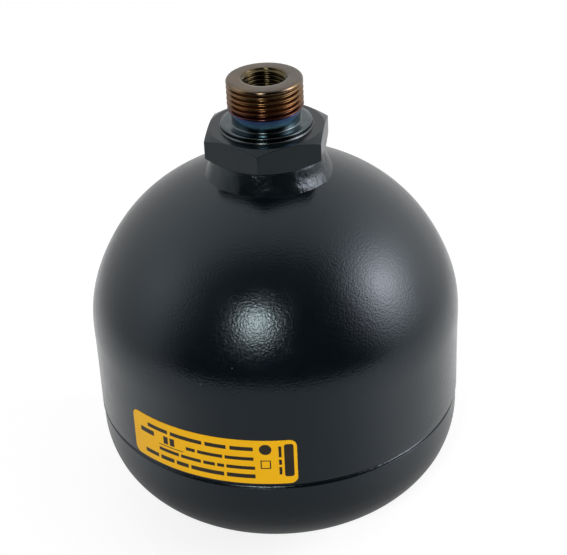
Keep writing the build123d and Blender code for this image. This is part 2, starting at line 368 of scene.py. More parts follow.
@dataclass
class Finishes:
    """Every finish of the accumulator, made once."""

    paint: bpy.types.Material = field(default_factory=lambda: SatinPaint("satin_black_paint").make())
    hexagon: bpy.types.Material = field(
        default_factory=lambda: SatinPaint("painted_hexagon", (0.0020, 0.0034, 0.0040), 0.24, 0.009, 0.0, False, 0.41).make()
    )
    weld: bpy.types.Material = field(
        default_factory=lambda: SatinPaint("painted_weld", (0.0018, 0.0032, 0.0040), 0.20, 0.090, 0.030, False, 0.55).make()
    )
    tinted: bpy.types.Material = field(
        default_factory=lambda: TintedSteel(
            "heat_tinted_steel",
            159.0,
            177.2,
            (
                (0.000, (0.17, 0.19, 0.20)),
                (0.022, (0.15, 0.17, 0.18)),
                # Painted shade: these two stops colour the collar's side near black, standing in for the dark
                # reflection it shows.
                (0.030, (0.014, 0.020, 0.023)),
                (0.094, (0.014, 0.020, 0.023)),
                (0.104, (0.085, 0.105, 0.112)),
                (0.150, (0.088, 0.128, 0.142)),
                (0.210, (0.045, 0.108, 0.144)),
                (0.330, (0.024, 0.050, 0.120)),
                (0.385, (0.050, 0.030, 0.060)),
                (0.440, (0.085, 0.034, 0.024)),
                (0.600, (0.150, 0.072, 0.030)),
                (0.860, (0.165, 0.098, 0.048)),
                (0.960, (0.172, 0.120, 0.070)),
                (1.000, (0.130, 0.106, 0.086)),
            ),
        ).make()
    )
    plated: bpy.types.Material = field(
        default_factory=lambda: Metal("zinc_plated_steel", (0.52, 0.53, 0.54), 0.30).make()
    )
    rolled: bpy.types.Material = field(
        default_factory=lambda: Metal("rolled_steel", (0.36, 0.36, 0.37), 0.36, (50.0, 50.0, 2500.0)).make()
    )
    rubber: bpy.types.Material = field(default_factory=lambda: MouldedRubber("moulded_rubber").make())
    film: bpy.types.Material = field(
        default_factory=lambda: Film("amber_film", (0.88, 0.45, 0.0), (0.90, 0.48, 0.004)).make()
    )
    ink: bpy.types.Material = field(
        default_factory=lambda: Film("dark_print", (0.012, 0.010, 0.008), (0.030, 0.022, 0.012), 0.42).make()
    )


# ---- Mesh tools


class Section:
    """A half-section drawn from one vertex in the XZ plane, then turned about the axis."""

    def __init__(self, radius: float, height: float) -> None:
        """Starts the section.

        Args:
            radius: Distance of the first point from the axis, in millimetres.
            height: Height of the first point, in millimetres.
        """
        self.mesh = bmesh.new()
        self.tip = self.mesh.verts.new((radius * MM, 0.0, height * MM))
        self.start = self.tip

    def line(self, radius: float, height: float, parts: int = 1) -> "Section":
        """Draws a straight run to a point, divided into equal parts."""
        begin = self.tip.co.copy()
        end = Vector((radius * MM, 0.0, height * MM))
        for part in range(parts):
            self.tip = bmesh.ops.extrude_vert_indiv(self.mesh, verts=[self.tip])["verts"][0]
            self.tip.co = begin.lerp(end, (part + 1) / parts)
        return self

    def lines(self, *points: tuple[float, float]) -> "Section":
        """Draws straight runs through several points."""
        for radius, height in points:
            self.line(radius, height)
        return self

    def arc(self, centre_r: float, centre_z: float, sweep: float, parts: int) -> "Section":
        """Draws an arc about a centre, anticlockwise for a positive sweep in degrees."""
        turned = bmesh.ops.spin(
            self.mesh,
            geom=[self.tip],
            cent=(centre_r * MM, 0.0, centre_z * MM),
            axis=(0.0, -1.0, 0.0),
            angle=radians(sweep),
            steps=parts,
        )
        self.tip = next(item for item in turned["geom_last"] if isinstance(item, bmesh.types.BMVert))
        return self

    def close(self) -> "Section":
        """Joins the last point to the first."""
        self.mesh.edges.new((self.tip, self.start))
        return self

    def turn(self, steps: int = 256) -> bmesh.types.BMesh:
        """Turns the section once round the axis.

        Args:
            steps: Divisions round the axis.

        Returns:
            The turned mesh, with its doubles merged and its faces outwards.
        """
        bmesh.ops.spin(
            self.mesh,
            geom=self.mesh.verts[:] + self.mesh.edges[:],
            cent=(0.0, 0.0, 0.0),
            axis=(0.0, 0.0, 1.0),
            angle=2 * pi,
            steps=steps,
            use_merge=True,
        )
        tidy(self.mesh)
        return self.mesh


def tidy(mesh: bmesh.types.BMesh, apart: float = 0.002) -> None:
    """Merges doubles closer than a distance in millimetres and turns the faces outwards."""
    bmesh.ops.remove_doubles(mesh, verts=mesh.verts, dist=apart * MM)
    bmesh.ops.recalc_face_normals(mesh, faces=mesh.faces)


def shape(mesh: bmesh.types.BMesh, move: Callable[[float, float, float], tuple[float, float]]) -> None:
    """Moves every vertex in its own radial plane.

    Args:
        mesh: The mesh to shape.
        move: Takes azimuth in degrees, radius and height in millimetres, and gives the new
            radius and height.
    """
    for vertex in mesh.verts:
        x, y, z = vertex.co
        azimuth = atan2(y, x)
        radius, height = move(degrees(azimuth), hypot(x, y) / MM, z / MM)
        vertex.co = (radius * MM * cos(azimuth), radius * MM * sin(azimuth), height * MM)


def unite(target: bmesh.types.BMesh, *others: bmesh.types.BMesh) -> None:
    """Adds other meshes to a target and frees them."""
    for other in others:
        data = bpy.data.meshes.new("part")
        other.to_mesh(data)
        other.free()
        target.from_mesh(data)
        bpy.data.meshes.remove(data)


def place(
    mesh: bmesh.types.BMesh,
    name: str,
    finish: bpy.types.Material,
    slot: Slot,
    body: Body | None = Body.VESSEL,
    replaces: Sequence[str] = (),
    sharp: float = 32.0,
) -> bpy.types.Object:
    """Makes a finished piece of a mesh.

    Args:
        mesh: The mesh, in metres, which is freed.
        name: The piece's name.
        finish: Its material.
        slot: The record's slot that the finish stands for. It is not used.
        body: The body it rides on, or None for a piece that rides on no body.
        replaces: The CAD nodes that it stands for.
        sharp: Edges that turn by more degrees than this stay sharp.

    Returns:
        The new object.
    """
    for face in mesh.faces:
        face.smooth = True
    data = bpy.data.meshes.new(name)
    mesh.to_mesh(data)
    mesh.free()
    data.set_sharp_from_angle(angle=radians(sharp))
    piece = bpy.data.objects.new(name, data)
    bpy.context.scene.collection.objects.link(piece)
    data.materials.append(finish)
    if body is not None:
        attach(piece, body.value)
    if replaces:
        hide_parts(*replaces)
    LOG.info("%s: %d faces", name, len(data.polygons))
    return piece


# ---- The vessel


@dataclass(frozen=True)
class Head:
    """The curved end of a shell: a knuckle arc and a crown arc."""

    tangent_z: float
    side: int
    knuckle_in: float
    crown_gain: float
    shell_r: float = 68.0

    @property
    def knuckle_r(self) -> float:
        """Radius of the knuckle arc."""
        return self.shell_r - self.knuckle_in

    @property
    def crown_r(self) -> float:
        """Radius of the crown arc."""
        return self.knuckle_r + self.crown_gain

    @property
    def centre_z(self) -> float:
        """Height of the crown's centre."""
        return self.tangent_z - self.side * sqrt(self.crown_gain**2 - self.knuckle_in**2)

    @property
    def knuckle_angle(self) -> float:
        """Degrees that the knuckle sweeps."""
        return degrees(acos(self.knuckle_in / self.crown_gain))

    def surface_z(self, radius: float, inwards: float = 0.0) -> float:
        """Height of the crown at a radius."""
        return self.centre_z + self.side * sqrt((self.crown_r - inwards) ** 2 - radius**2)

    def up(self, section: Section, inwards: float, edge_r: float, parts: int = 26) -> None:
        """Draws knuckle and crown from the cylinder to a radius near the axis."""
        end = degrees(acos(edge_r / (self.crown_r - inwards)))
        section.arc(self.knuckle_in, self.tangent_z, self.side * self.knuckle_angle, parts)
        section.arc(0.0, self.centre_z, self.side * (end - self.knuckle_angle), parts)

    def down(self, section: Section, inwards: float, edge_r: float, parts: int = 26) -> None:
        """Draws crown and knuckle back from a radius near the axis to the cylinder."""
        end = degrees(acos(edge_r / (self.crown_r - inwards)))
        section.arc(0.0, self.centre_z, -self.side * (end - self.knuckle_angle), parts)
        section.arc(self.knuckle_in, self.tangent_z, -self.side * self.knuckle_angle, parts)


@dataclass(frozen=True)
class Vessel:
    """The two drawn shells and the weld where they meet."""

    finishes: Finishes
    shell_r: float = 68.0
    wall: float = 6.0
    seam_z: float = 51.694
    seam_half: float = 0.8
    root_half: float = 0.4
    edge_round: float = 0.3
    step_in: float = 0.40
    fluid: Head = Head(82.394, 1, 7.5, 12.9)
    gas: Head = Head(46.494, -1, 34.6, 78.0)
    fluid_hole_r: float = 15.05
    gas_hole_r: float = 17.05

    def build(self) -> None:
        """Builds both shells and their weld."""
        self.shell("fluid_shell_skin", "fluid_shell", self.fluid, self.fluid_hole_r)
        self.shell("gas_shell_skin", "gas_shell", self.gas, self.gas_hole_r)
        self.weld()

    def shell(self, name: str, node: str, head: Head, hole_r: float) -> None:
        """Builds one drawn shell, from its weld edge to the hole in its pole."""
        edge = self.seam_z + head.side * self.seam_half
        root = self.seam_z + head.side * self.root_half
        inner = self.shell_r - self.wall
        lip = self.edge_round
        section = Section(self.shell_r - lip, edge)
        section.arc(self.shell_r - lip, edge + head.side * lip, head.side * 90.0, 3)
        section.line(self.shell_r, head.tangent_z, 8)
        head.up(section, 0.0, hole_r)
        section.line(hole_r, head.surface_z(hole_r, self.wall))
        head.down(section, self.wall, hole_r)
        section.line(inner, root, 4)
        section.close()
        mesh = section.turn()
        shape(mesh, self.draw_in if head.side < 0 else self.fill_out)
        place(mesh, name, self.finishes.paint, Slot.BLACK_PAINT, replaces=[node])

    def fill_out(self, azimuth: float, radius: float, height: float) -> tuple[float, float]:
        """Gives the fluid shell's shoulder the slight fullness of a drawn head."""
        return radius + 0.5 * exp(-(((height - 95.0) / 11.0) ** 2)) * radius / self.shell_r, height

    def draw_in(self, azimuth: float, radius: float, height: float) -> tuple[float, float]:
        """Sets the gas shell's edge in a little from the fluid shell's at the seam."""
        reach = max(0.0, 1.0 - (self.seam_z - height) / 22.0)
        outside = 1.0 if radius > self.shell_r - self.wall / 2 else 0.0
        return radius - self.step_in * reach * outside, height

    def weld(self) -> None:
        """Builds the seam weld: a narrow band between two fine grooves."""
        z = self.seam_z
        r = self.shell_r
        section = Section(r - 1.50, z + 0.80)
        section.lines((r - 1.50, z + 0.28), (r - 0.70, z + 0.18), (r - 0.60, z + 0.10), (r - 0.48, z - 0.06))
        section.lines((r - 0.36, z - 0.22), (r - 0.32, z - 0.30), (r - 0.40, z - 0.36), (r - 0.62, z - 0.40))
        section.lines((r - 1.40, z - 0.46), (r - 1.40, z - 0.80))
        section.line(r - self.wall, z - self.root_half)
        section.line(r - self.wall, z + self.root_half)
        section.close()
        mesh = section.turn(720)
        shape(mesh, self.ripple)
        place(mesh, "seam_weld_bead", self.finishes.paint, Slot.BLACK_PAINT, replaces=["seam_weld"], sharp=60.0)

    def ripple(self, azimuth: float, radius: float, height: float) -> tuple[float, float]:
        """Gives the band its fine ripples, and sets it deeper on one side than on the other."""
        if radius < self.shell_r - 0.9 or abs(height - self.seam_z) > 0.45:
            return radius, height
        turn = radians(azimuth)
        lift = -0.36 * cos(turn + radians(10.0))
        spot = Vector((9.0 * cos(turn), 9.0 * sin(turn), 0.0))
        wander = 0.06 * noise.noise(spot)
        fine = 0.06 * noise.noise(9.0 * spot) + 0.09 * noise.noise(31.0 * spot)
        return radius + lift + fine, height + wander + 0.4 * lift


# ---- The fluid port


@dataclass(frozen=True)
class Thread:
    """A right-handed 60 degree thread, cut on the outside or the inside."""

    crest_r: float
    depth: float
    pitch: float
    crest_z: float
    inside: bool = False

    def surface(
        self, low: float, high: float, limit: Callable[[float, float], float], steps: int = 180
    ) -> bmesh.types.BMesh:
        """Cuts the thread between two heights.

        Args:
            low: Height where the thread starts, in millimetres.
            high: Height where it ends.
            limit: Takes a radius and a height and gives the radius that the blank allows.
            steps: Divisions round the axis.

        Returns:
            The thread's surface, with a plain circle at each end.
        """
        side = 1.0 if self.inside else -1.0
        tooth = (
            (-0.50, 1.0), (-0.43, 0.97), (-0.37, 0.87), (-0.26, 0.54), (-0.165, 0.24), (-0.12, 0.11), (-0.07, 0.03),
            (0.0, 0.0), (0.07, 0.03), (0.12, 0.11), (0.165, 0.24), (0.26, 0.54), (0.37, 0.87), (0.43, 0.97),
        )
        teeth = int((high - low) / self.pitch) + 4
        first = self.crest_z - self.pitch * (int((self.crest_z - low) / self.pitch) + 2)
        points = [
            (self.crest_r + side * self.depth * share, first + self.pitch * (count + offset))
            for count in range(teeth)
            for offset, share in tooth
        ]
        section = Section(*points[0])
        section.lines(*points[1:])
        mesh = section.mesh
        bmesh.ops.spin(
            mesh,
            geom=mesh.verts[:] + mesh.edges[:],
            cent=(0.0, 0.0, 0.0),
            axis=(0.0, 0.0, 1.0),
            dvec=(0.0, 0.0, self.pitch * MM / steps),
            angle=2 * pi,
            steps=steps,
        )
        bmesh.ops.remove_doubles(mesh, verts=mesh.verts, dist=0.002 * MM)
        bmesh.ops.rotate(mesh, verts=mesh.verts, cent=(0, 0, 0), matrix=Matrix.Rotation(-pi / 2, 3, "Z"))

        def blank(azimuth: float, radius: float, height: float) -> tuple[float, float]:
            """Holds a point of the thread to the blank."""
            held = min(max(height, low), high)
            return limit(radius, held), held

        shape(mesh, blank)
        bmesh.ops.remove_doubles(mesh, verts=mesh.verts, dist=0.004 * MM)
        return mesh


@dataclass(frozen=True)
class PortFitting:
    """The turned fitting: hexagon, sealing collar, relief neck and two threads."""

    finishes: Finishes
    seat_z: float = 137.208
    shoulder_z: float = 143.849
    hex_bottom_z: float = 149.398
    hex_top_z: float = 159.198
    collar_z: float = 160.998
    thread_start_z: float = 166.298
    rim_z: float = 177.198
    bore_end_z: float = 162.198
    spigot_r: float = 15.0
    neck_r: float = 17.5
    collar_r: float = 16.2
    relief_r: float = 12.2
    drill_r: float = 5.0
    mouth_r: float = 8.1
    across_flats: float = 41.0
    hex_turn: float = 21.13
    chamfer_r: float = 20.3
    chamfer_angle: float = 27.0
    outer: Thread = Thread(13.5, 1.23, 2.0, 174.66)
    inner: Thread = Thread(7.19, 0.81, 1.5, 175.2, True)
    rim_round: float = 1.10

    def build(self) -> None:
        """Builds the stud with its threads, and the hexagon."""
        self.stud()
        self.hexagon()

    def outer_limit(self, radius: float, height: float) -> float:
        """The outside blank: a cone at the relief neck and a fading thread at the rim."""
        cone = self.relief_r - 0.2 + 1.45 * (height - (self.thread_start_z - 0.9))
        top = self.rim_z - self.rim_round
        fade = min(1.0, max(0.0, (height - (top - 0.75)) / 0.6))
        fade = fade * fade * (3.0 - 2.0 * fade)
        return min(radius + (self.outer.crest_r - radius) * fade, cone)

    def inner_limit(self, radius: float, height: float) -> float:
        """The inside blank: a countersink at the mouth and plain bore at the end."""
        mouth = self.mouth_r - (self.rim_z - height)
        fade = min(1.0, max(0.0, (self.bore_end_z + 0.8 - height) / 0.8))
        return max(radius + (self.inner.crest_r - radius) * fade, mouth)

    def stud(self) -> None:
        """Builds the turned body with both threads, in one closed mesh."""
        top = self.rim_z
        edge = self.rim_round
        crest = self.outer.crest_r
        rim = Section(crest, top - edge)
        rim.arc(crest - edge, top - edge, 90.0, 8)
        rim.line(self.mouth_r + 0.12, top, 3)
        rim.line(self.mouth_r, top - 0.05)
        lower = Section(self.relief_r, self.thread_start_z - 0.5)
        lower.line(self.relief_r, self.collar_z + 0.5, 4)
        lower.arc(self.relief_r + 0.5, self.collar_z + 0.5, 90.0, 4)
        lower.line(self.collar_r - 0.18, self.collar_z, 2)
        lower.line(self.collar_r, self.collar_z - 0.18)
        lower.line(self.collar_r, self.hex_top_z + 0.30, 2)
        lower.line(self.collar_r + 0.10, self.hex_top_z + 0.20)
        lower.arc(self.collar_r + 0.26, self.hex_top_z + 0.06, -165.0, 8)
        lower.line(self.collar_r + 0.42, self.hex_top_z - 0.6)
        lower.lines((self.neck_r - 0.1, self.hex_top_z - 1.0), (self.neck_r - 0.1, self.shoulder_z))
        lower.lines((self.spigot_r, self.shoulder_z), (self.spigot_r, self.seat_z + 0.6))
        lower.lines((self.spigot_r - 0.6, self.seat_z), (self.drill_r + 0.6, self.seat_z))
        lower.lines((self.drill_r, self.seat_z + 0.6), (self.drill_r, self.bore_end_z - 1.3))
        lower.line(self.inner.crest_r, self.bore_end_z)
        mesh = rim.turn(180)
        bmesh.ops.rotate(mesh, verts=mesh.verts, cent=(0, 0, 0), matrix=Matrix.Rotation(-pi / 2, 3, "Z"))
        thread = self.outer.surface(self.thread_start_z - 0.9, top - edge, self.outer_limit)
        bore = self.inner.surface(self.bore_end_z, top - 0.05, self.inner_limit)
        unite(mesh, lower.turn(180), thread, bore)
        tidy(mesh, 0.01)
        place(
            mesh, "port_stud", self.finishes.tinted, Slot.PORT_STEEL, replaces=["port_fitting"], sharp=48.0
        )

    def hexagon(self) -> None:
        """Builds the hexagon with a turned chamfer at each end."""
        corner_r = self.across_flats / sqrt(3)
        mesh = bmesh.new()
        bmesh.ops.create_circle(mesh, segments=6, radius=corner_r * MM)
        bmesh.ops.subdivide_edges(mesh, edges=mesh.edges[:], cuts=15)
        bmesh.ops.rotate(
            mesh, verts=mesh.verts, cent=(0, 0, 0), matrix=Matrix.Rotation(radians(self.hex_turn - 30.0), 3, "Z")
        )
        slope = tan(radians(self.chamfer_angle))
        flat_low = Vector((0.0, 0.0, self.hex_bottom_z * MM))
        bmesh.ops.translate(mesh, verts=mesh.verts, vec=flat_low)
        ring = mesh.edges[:]
        rows = [mesh.verts[:]]
        for _ in range(5):
            extruded = bmesh.ops.extrude_edge_only(mesh, edges=ring)["geom"]
            ring = [item for item in extruded if isinstance(item, bmesh.types.BMEdge)]
            ring = [item for item in ring if not item.link_faces or len(item.link_faces) == 1]
            row = {vertex for item in ring for vertex in item.verts}
            rows.append([vertex for vertex in row])
        for number, row in enumerate(rows):
            for vertex in row:
                x, y, _ = vertex.co / MM
                radius = hypot(x, y)
                bevel = slope * max(0.0, radius - self.chamfer_r)
                reach, height = (
                    (self.neck_r - 0.6, self.hex_bottom_z),
                    (min(radius, self.chamfer_r), self.hex_bottom_z),
                    (radius, self.hex_bottom_z + bevel),
                    (radius, self.hex_top_z - bevel),
                    (min(radius, self.chamfer_r), self.hex_top_z),
                    (self.collar_r + 0.45, self.hex_top_z),
                )[number]
                vertex.co = (x * reach / radius * MM, y * reach / radius * MM, height * MM)
        inner = [edge for edge in mesh.edges if edge.is_boundary]
        bmesh.ops.bridge_loops(mesh, edges=inner)
        tidy(mesh)
        piece = place(mesh, "port_hexagon", self.finishes.hexagon, Slot.PAINTED_STEEL, sharp=20.0)
        rounding = piece.modifiers.new("broken_edges", "BEVEL")
        rounding.width = 0.22 * MM
        rounding.segments = 2
        rounding.limit_method = "ANGLE"
        rounding.angle_limit = radians(20.0)
        rounding.harden_normals = False


@dataclass(frozen=True)
class PortWeld:
    """The lumpy fillet weld between the crown and the hexagon."""

    finishes: Finishes
    crown: Head
    top_r: float = 19.9
    top_z: float = 149.398
    toe_r: float = 22.9
    root_r: float = 15.1

    def build(self) -> None:
        """Builds the fillet and pushes its lumps and ripples in and out."""
        toe_z = self.crown.surface_z(self.toe_r)
        section = Section(self.root_r, self.crown.surface_z(self.root_r) - 0.4)
        section.line(self.root_r, self.top_z - 0.3)
        section.line(self.top_r, self.top_z - 0.05)
        section.line(self.toe_r, toe_z, 22)
        section.line(self.toe_r + 0.35, self.crown.surface_z(self.toe_r + 0.35) - 0.35)
        section.close()
        mesh = section.turn(420)
        shape(mesh, self.lumps)
        place(mesh, "port_weld_bead", self.finishes.weld, Slot.WELD_PAINT, replaces=["port_weld"], sharp=50.0)

    def lumps(self, azimuth: float, radius: float, height: float) -> tuple[float, float]:
        """Pushes the open face of the fillet out and in, more on its rougher side."""
        if radius < self.top_r - 0.5:
            return radius, height
        turn = radians(azimuth)
        spot = Vector((cos(turn), sin(turn), 0.0)) * radius * 0.1 + Vector((0.0, 0.0, height * 0.1))
        rough = max(0.0, (cos(turn + radians(50.0)) - 0.15) / 0.85)
        face = min(1.0, max(0.0, (self.top_z - height) / 1.2))
        along = min(1.0, max(0.0, (radius - self.top_r) / (self.toe_r - self.top_r)))
        right = max(0.0, cos(turn + radians(38.0))) ** 4
        front = max(0.0, cos(turn + radians(100.0))) ** 2
        form = 0.55 * right * (0.3 * along - sin(pi * along) ** 2) - 0.75 * front * along
        wide = 0.26 * noise.noise(1.6 * spot) + 0.10 * rough * noise.noise(6.0 * spot)
        fine = rough * (0.065 * noise.noise(14.0 * spot) + 0.055 * noise.noise(29.0 * spot))
        return radius + form + face * (wide + fine + 0.14 * rough), height


@dataclass(frozen=True)
class Label:
    """The amber film on the cylinder, with plain dark fields where print would be."""

    finishes: Finishes
    shell_r: float = 68.0
    low_z: float = 53.35
    height: float = 18.4
    start: float = -140.4
    sweep: float = 54.5
    rise: float = 0.15
    thickness: float = 0.15
    corner: float = 2.6

    def build(self) -> None:
        """Builds the film and its print."""
        self.film()
        self.print_fields()

    def wrap(self, mesh: bmesh.types.BMesh, radius: float) -> None:
        """Wraps a flat sheet round the cylinder, x along it and y up it."""
        length = radians(self.sweep) * self.shell_r
        for vertex in mesh.verts:
            x, y, z = vertex.co / MM
            turn = radians(self.start + self.sweep * x / length)
            reach = (radius + z) * MM
            vertex.co = (reach * cos(turn), reach * sin(turn), (self.low_z + y + self.rise * x / length) * MM)

    def sheet(self, x: float, y: float, wide: float, tall: float, corner: float) -> bmesh.types.BMesh:
        """Makes a flat sheet with round corners, divided along its length.

        Args:
            x: Its left edge, in millimetres from the label's own.
            y: Its lower edge.
            wide: Its length.
            tall: Its height.
            corner: Radius of its corners.

        Returns:
            The flat sheet.
        """
        mesh = bmesh.new()
        bmesh.ops.create_grid(mesh, x_segments=1, y_segments=1, size=0.5 * MM)
        bmesh.ops.scale(mesh, vec=(wide, tall, 1.0), verts=mesh.verts)
        bmesh.ops.translate(mesh, vec=((x + wide / 2) * MM, (y + tall / 2) * MM, 0.0), verts=mesh.verts)
        bmesh.ops.bevel(
            mesh,
            geom=mesh.verts[:],
            offset=corner * MM,
            offset_type="OFFSET",
            affect="VERTICES",
            segments=8,
            profile=0.5,
            material=-1,
        )
        cuts = max(2, round(wide / 0.8))
        for cut in range(1, cuts):
            bmesh.ops.bisect_plane(
                mesh,
                geom=mesh.verts[:] + mesh.edges[:] + mesh.faces[:],
                plane_co=((x + wide * cut / cuts) * MM, 0.0, 0.0),
                plane_no=(1.0, 0.0, 0.0),
            )
        return mesh

    def film(self) -> None:
        """Builds the sheet with its four round corners."""
        length = radians(self.sweep) * self.shell_r
        mesh = self.sheet(0.0, 0.0, length, self.height, self.corner)
        outline = [edge for edge in mesh.edges if edge.is_boundary]
        extruded = bmesh.ops.extrude_edge_only(mesh, edges=outline)["geom"]
        skirt = [item for item in extruded if isinstance(item, bmesh.types.BMVert)]
        bmesh.ops.translate(mesh, vec=(0.0, 0.0, -self.thickness * MM), verts=skirt)
        self.wrap(mesh, self.shell_r + self.thickness)
        bmesh.ops.holes_fill(mesh, edges=[edge for edge in mesh.edges if edge.is_boundary], sides=0)
        tidy(mesh)
        place(mesh, "label_sheet", self.finishes.film, Slot.LABEL_FILM, replaces=["label"], sharp=40.0)

    def print_fields(self) -> None:
        """Builds the dark fields: rows of short bars, a dot, a small frame and a block at the end."""
        rows = (
            (13.4, 1.6, ((7.0, 9.2), (17.4, 12.8), (31.4, 7.8), (40.6, 8.2))),
            (10.1, 2.0, ((3.2, 6.6),)),
            (8.9, 3.2, ((14.2, 2.0), (17.0, 2.0))),
            (7.9, 0.35, ((12.0, 10.5),)),
            (9.3, 1.4, ((23.8, 3.6), (28.3, 9.4), (38.6, 10.2))),
            (5.4, 1.4, ((12.0, 8.6), (21.5, 8.0), (30.4, 4.4), (35.6, 2.6), (39.0, 10.2))),
            (1.7, 1.7, ((5.0, 6.4), (12.4, 6.0), (19.4, 5.0), (25.4, 12.6), (39.0, 10.2))),
            (5.9, 3.6, ((51.2, 0.4), (54.4, 0.4))),
            (5.9, 0.4, ((51.6, 2.8),)),
            (9.1, 0.4, ((51.6, 2.8),)),
            (3.4, 3.2, ((57.6, 1.0),)),
            (7.6, 2.2, ((57.6, 1.0),)),
            (10.8, 4.6, ((57.6, 1.0),)),
        )
        fields = [(x + 0.7, y + 0.6, wide, tall) for y, tall, blocks in rows for x, wide in blocks]
        mesh = bmesh.new()
        for x, y, wide, tall in fields:
            made = bmesh.ops.create_grid(mesh, x_segments=max(2, int(wide)), y_segments=2, size=0.5 * MM)
            bmesh.ops.scale(mesh, vec=(wide, tall, 1.0), verts=made["verts"])
            bmesh.ops.translate(mesh, vec=((x + wide / 2) * MM, (y + tall / 2) * MM, 0.0), verts=made["verts"])
        unite(mesh, self.sheet(51.6, 12.5, 4.3, 4.3, 2.1), self.sheet(60.2, 3.0, 3.3, 13.8, 0.9))
        self.wrap(mesh, self.shell_r + self.thickness + 0.02)
        bmesh.ops.recalc_face_normals(mesh, faces=mesh.faces)
        place(mesh, "label_print", self.finishes.ink, Slot.LABEL_FILM)


# ---- The gas end and the inside


@dataclass(frozen=True)
class GasEnd:
    """The fillet weld round the threaded bush at the gas end."""

    finishes: Finishes
    crown: Head
    bush_r: float = 20.0
    weld_top_z: float = 6.205
    weld_low_z: float = 4.005
    toe_r: float = 23.6
    root_r: float = 17.1

    def build(self) -> None:
        """Builds the small fillet of the bush weld."""
        toe_z = self.crown.surface_z(self.toe_r)
        section = Section(self.root_r, self.crown.surface_z(self.root_r) + 0.3)
        section.lines((self.root_r, self.weld_top_z), (self.bush_r - 0.1, self.weld_top_z))
        section.line(self.bush_r - 0.1, self.weld_low_z)
        for share in range(1, 11):
            along = share / 10
            bow = 0.4 * sin(pi * along)
            section.line(
                self.bush_r + (self.toe_r - self.bush_r) * along + 0.7 * bow,
                self.weld_low_z + (toe_z - self.weld_low_z) * along - 0.7 * bow,
            )
        section.line(self.toe_r + 0.3, self.crown.surface_z(self.toe_r + 0.3) + 0.3)
        section.close()
        mesh = section.turn(360)
        shape(mesh, self.lumps)
        place(mesh, "bush_weld_bead", self.finishes.weld, Slot.WELD_PAINT, replaces=["bush_weld"], sharp=50.0)

    def lumps(self, azimuth: float, radius: float, height: float) -> tuple[float, float]:
        """Gives the fillet its ripples."""
        if radius < self.bush_r + 0.2:
            return radius, height
        turn = radians(azimuth)
        spot = Vector((cos(turn), sin(turn), 0.0)) * radius * 0.1
        push = 0.16 * noise.noise(5.0 * spot) + 0.07 * noise.noise(17.0 * spot)
        return radius + 0.5 * push, height - 0.5 * push


@dataclass(frozen=True)
class Diaphragm:
    """The rubber cup with its bead."""

    finishes: Finishes
    fluid: Head
    shell_r: float = 68.0
    gap_to_shell: float = 6.4
    rubber: float = 2.2
    top_z: float = 132.608
    under_z: float = 130.108
    hole_r: float = 5.3
    bead_z: float = 60.194
    bead_side: float = 6.0
    bead_in_r: float = 55.9
    bead_edge: float = 1.2
    still_below_z: float = 102.0
    moves_above_z: float = 126.2

    def build(self) -> None:
        """Builds the cup."""
        outer = self.shell_r - self.gap_to_shell
        inner = outer - self.rubber
        edge = self.bead_edge
        low, high = self.bead_z, self.bead_z + self.bead_side
        right, left = self.bead_in_r + self.bead_side, self.bead_in_r
        section = Section(outer, high)
        section.line(outer, self.fluid.tangent_z, 6)
        self.climb(section, self.gap_to_shell, self.top_z, True)
        section.line(self.hole_r, self.top_z, 8)
        section.line(self.hole_r, self.under_z)
        flat_r = self.flat_radius(self.gap_to_shell + self.rubber, self.under_z)
        section.line(flat_r, self.under_z, 8)
        self.climb(section, self.gap_to_shell + self.rubber, self.under_z, False)
        section.line(inner, high + 0.4, 6)
        section.line(inner - 0.4, high, 1)
        section.line(left + edge, high)
        section.arc(left + edge, high - edge, 90.0, 4)
        section.line(left, low + edge)
        section.arc(left + edge, low + edge, 90.0, 4)
        section.line(right - edge, low)
        section.arc(right - edge, low + edge, 90.0, 4)
        section.line(right, high - edge)
        section.line(outer, high - 0.3)
        section.close()
        piece = place(
            section.turn(128), "diaphragm_cup", self.finishes.rubber, Slot.RUBBER, None, ["diaphragm"], 40.0
        )
        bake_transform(piece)

    def flat_radius(self, inwards: float, height: float) -> float:
        """Radius at which the crown meets the flat centre."""
        return sqrt((self.fluid.crown_r - inwards) ** 2 - (height - self.fluid.centre_z) ** 2)

    def climb(self, section: Section, inwards: float, height: float, upwards: bool) -> None:
        """Draws knuckle and crown between the cylinder and the flat centre."""
        flat_r = self.flat_radius(inwards, height)
        if upwards:
            self.fluid.up(section, inwards, flat_r, 20)
        else:
            self.fluid.down(section, inwards, flat_r, 20)


@dataclass(frozen=True)
class Carried:
    """CAD nodes whose shapes are right, with their finishes."""

    finishes: Finishes

    def build(self) -> None:
        """Gives each of the nodes its finish."""
        nodes = {
            "closing_button": self.finishes.plated,
            "button_backing_disc": self.finishes.plated,
            "clamp_ring": self.finishes.rolled,
            "weld_backing_ring": self.finishes.rolled,
            "gas_bush": self.finishes.paint,
            "charging_screw": self.finishes.plated,
            "screw_seal": self.finishes.rubber,
        }
        for name, finish in nodes.items():
            node = bpy.data.objects[name]
            node.data.materials.clear()
            node.data.materials.append(finish)
            LOG.info("%s: kept from the CAD", name)


# ---- Studio


@dataclass(frozen=True)
class Lamp:
    """A soft lamp that looks at the object's middle; its shine comes from the tent's glow."""

    name: str
    azimuth: float
    elevation: float
    distance: float
    width: float
    tall: float
    power: float
    round: bool = False

    def build(self, middle: Vector) -> None:
        """Places the lamp.

        Args:
            middle: The point that it looks at.
        """
        away = towards(self.azimuth, self.elevation)
        data = bpy.data.lights.new(self.name, "AREA")
        data.shape = "ELLIPSE" if self.round else "RECTANGLE"
        data.size = self.width
        data.size_y = self.tall
        data.energy = self.power
        lamp = bpy.data.objects.new(self.name, data)
        bpy.context.scene.collection.objects.link(lamp)
        lamp.location = middle + away * self.distance
        lamp.rotation_euler = away.to_track_quat("Z", "Y").to_euler()
        lamp.visible_glossy = False


